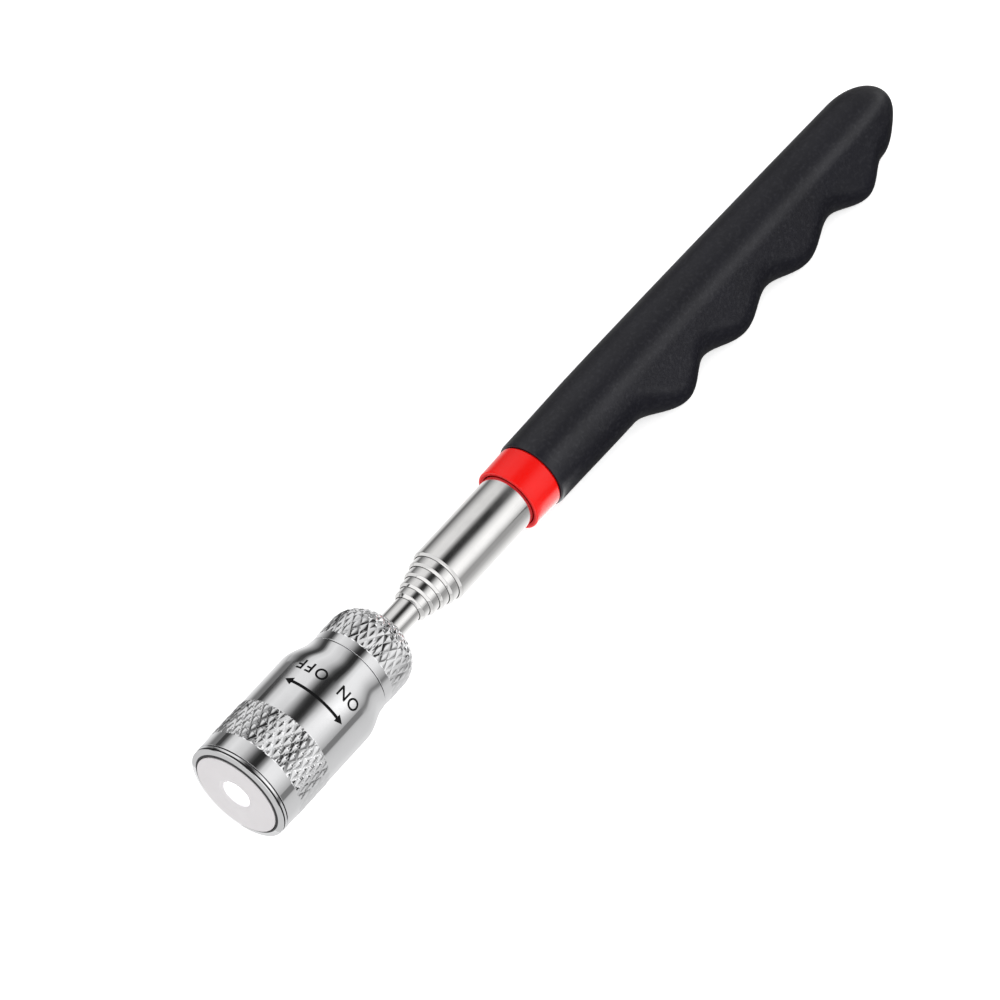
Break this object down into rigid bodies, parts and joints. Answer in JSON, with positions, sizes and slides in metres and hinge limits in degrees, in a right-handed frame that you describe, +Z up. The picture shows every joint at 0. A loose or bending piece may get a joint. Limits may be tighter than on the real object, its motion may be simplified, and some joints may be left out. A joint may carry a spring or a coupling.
{
  "type": "telescopic magnetic pick-up tool",
  "caption": "Telescoping pick-up wand: chromed twist-switch head with ring magnet and central lamp, nested steel tubes, red collar and black rubber grip with finger bumps.",
  "frame": {"origin": "on the table, under the middle of the collapsed tool as it lies at rest", "axes": "+X from the magnet head towards the closed end of the grip, +Z up, the finger bumps towards -Y"},
  "size_m": [0.1726, 0.019, 0.0185],
  "materials": {
    "chrome": "polished chrome plate, knurled in two bands",
    "magnet_cover": "light grey satin disc",
    "polished_steel": "polished stainless tube",
    "plain_steel": "bright drawn steel",
    "nickel_plate": "satin nickel plate",
    "brass": "bright brass",
    "led_clear": "clear lamp body, glowing cool white",
    "holder_white": "moulded",
    "board_green": "solder mask",
    "moulded_black": "moulded",
    "seal_rubber": "smooth",
    "collar_red": "glossy red",
    "grip_rubber": "matte, very fine grain"
  },
  "bodies": {
    "handle": {"grip": "grip_rubber", "collar": "collar_red", "outer_tube": "polished_steel", "tail_plug": "moulded_black"},
    "section_1": {"section_1": "polished_steel", "friction_sleeve_1": "brass"},
    "section_2": {"section_2": "polished_steel", "friction_sleeve_2": "brass"},
    "section_3": {"section_3": "polished_steel", "friction_sleeve_3": "brass"},
    "section_4": {"section_4": "polished_steel", "friction_sleeve_4": "brass"},
    "rod_carriage": {"friction_sleeve_5": "brass"},
    "rod": {"rod": "polished_steel", "rod_plug": "brass", "neck_screw": "plain_steel", "rear_cap": "chrome", "o_ring": "seal_rubber", "cap_spring": "plain_steel"},
    "head": {"barrel": "chrome", "magnet_cup": "chrome", "magnet_cover": "magnet_cover", "ring_magnet": "nickel_plate", "led_lamp": "led_clear", "led_holder": "holder_white", "led_board": "board_green", "led_lead_anode": "nickel_plate", "led_lead_cathode": "nickel_plate", "led_resistor": "moulded_black", "positive_contact": "brass", "cell_sleeve": "moulded_black", "button_cell_1": "nickel_plate", "button_cell_2": "nickel_plate", "button_cell_3": "nickel_plate"}
  },
  "joints": [
    {"name": "section_1_slide", "type": "slide", "parent": "handle", "child": "section_1", "axis": [-0.9997, 0, 0.0241], "range_m": [0, 0.1022]},
    {"name": "section_2_slide", "type": "slide", "parent": "section_1", "child": "section_2", "axis": [-0.9997, 0, 0.0241], "range_m": [0, 0.1041]},
    {"name": "section_3_slide", "type": "slide", "parent": "section_2", "child": "section_3", "axis": [-0.9997, 0, 0.0241], "range_m": [0, 0.1059]},
    {"name": "section_4_slide", "type": "slide", "parent": "section_3", "child": "section_4", "axis": [-0.9997, 0, 0.0241], "range_m": [0, 0.1077]},
    {"name": "rod_slide", "type": "slide", "parent": "section_4", "child": "rod_carriage", "axis": [-0.9997, 0, 0.0241], "range_m": [0, 0.1096]},
    {"name": "rod_spin", "type": "hinge", "parent": "rod_carriage", "child": "rod", "pos_m": [-0.08613, 0.00033, 0.00953], "axis": [-0.9997, 0, 0.0241], "continuous": true},
    {"name": "head_twist", "type": "hinge", "parent": "rod", "child": "head", "pos_m": [-0.08613, 0.00033, 0.00953], "axis": [-0.9997, 0, 0.0241], "range_deg": [0, 70]}
  ]
}
